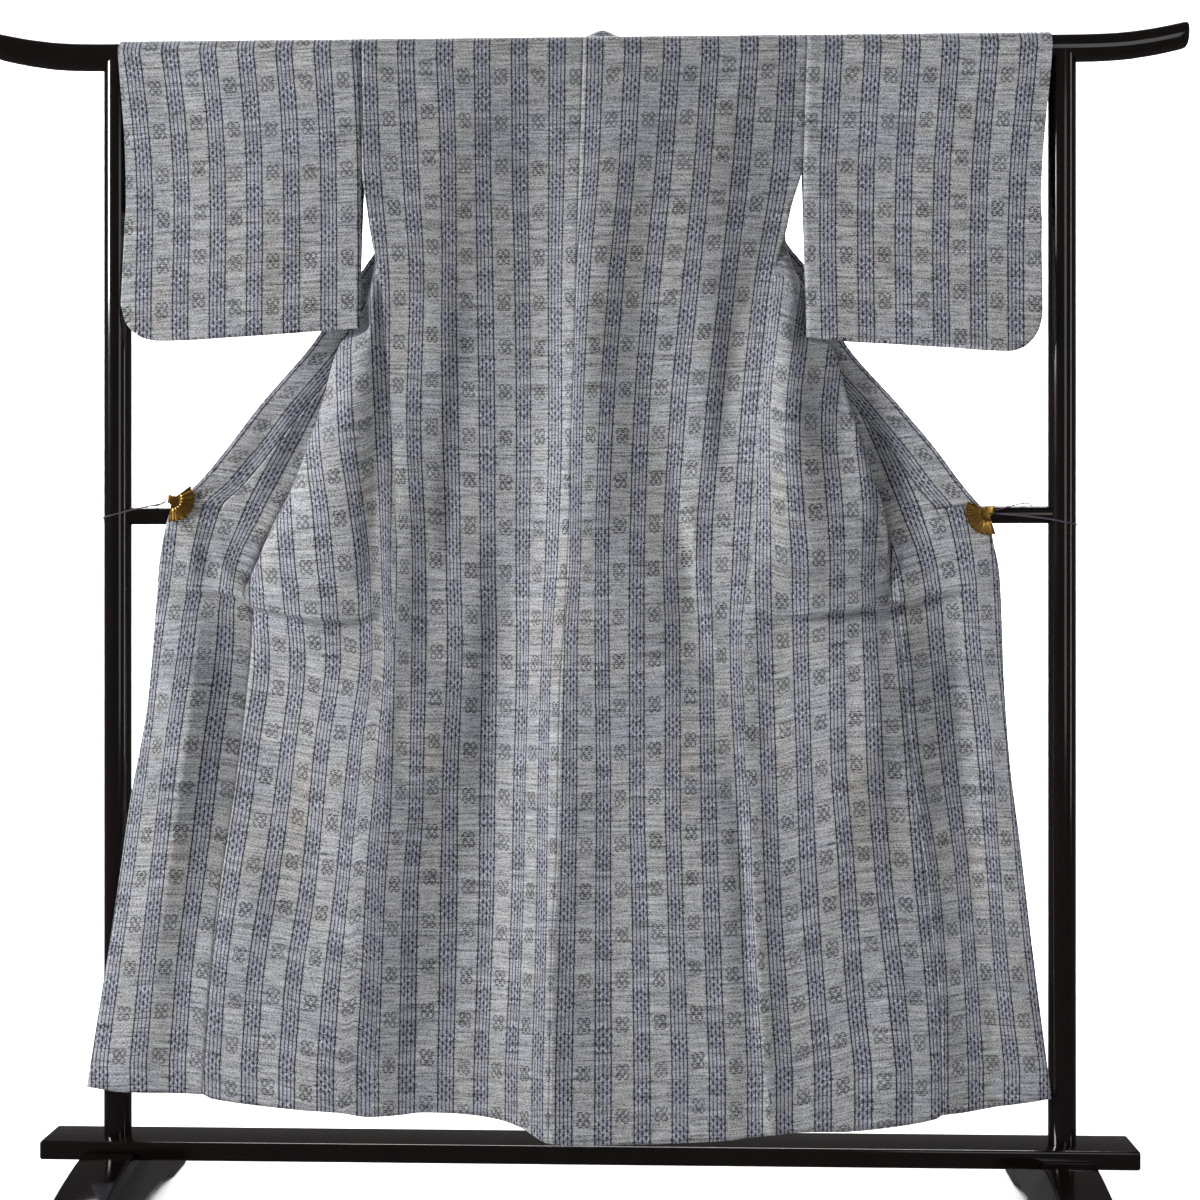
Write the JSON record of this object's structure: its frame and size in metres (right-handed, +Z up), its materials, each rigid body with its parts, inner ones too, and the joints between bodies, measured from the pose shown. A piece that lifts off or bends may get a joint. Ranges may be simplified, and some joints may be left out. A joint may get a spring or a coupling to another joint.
{
  "type": "silk kimono on a lacquered kimono stand",
  "caption": "Woven silk kimono hung by its back over the rail of a lacquered stand, its fronts drawn out to the posts by fan clips.",
  "frame": {"origin": "floor level, at the middle of the stand's width and depth, under the top rail", "axes": "+X to the viewer's right as seen from the side where the kimono's back faces, +Y away from that viewer towards the kimono's neck and collar side, +Z up"},
  "size_m": [1.7, 0.506, 1.7012],
  "materials": {
    "body_left": "woven silk with a soft sheen",
    "body_right": "woven silk with a soft sheen",
    "okumi_left": "woven silk with a soft sheen",
    "okumi_right": "woven silk with a soft sheen",
    "collar": "woven silk with a soft sheen",
    "sleeve_left": "woven silk with a soft sheen",
    "sleeve_right": "woven silk with a soft sheen",
    "top_rail": "polished black lacquer",
    "post_left": "polished black lacquer",
    "post_right": "polished black lacquer",
    "mid_rail": "polished black lacquer",
    "bottom_rail": "polished black lacquer",
    "foot_left": "polished black lacquer",
    "foot_right": "polished black lacquer",
    "clip_left": "polished gold plate",
    "clip_right": "polished gold plate",
    "clip_cord_left": "round twisted silk cord",
    "clip_cord_right": "round twisted silk cord"
  },
  "bodies": {
    "root": {"body_left": "body_left", "body_right": "body_right", "okumi_left": "okumi_left", "okumi_right": "okumi_right", "collar": "collar", "sleeve_left": "sleeve_left", "sleeve_right": "sleeve_right", "top_rail": "top_rail", "post_left": "post_left", "post_right": "post_right", "mid_rail": "mid_rail", "bottom_rail": "bottom_rail", "foot_left": "foot_left", "foot_right": "foot_right", "clip_left": "clip_left", "clip_right": "clip_right", "clip_cord_left": "clip_cord_left", "clip_cord_right": "clip_cord_right"}
  },
  "joints": []
}
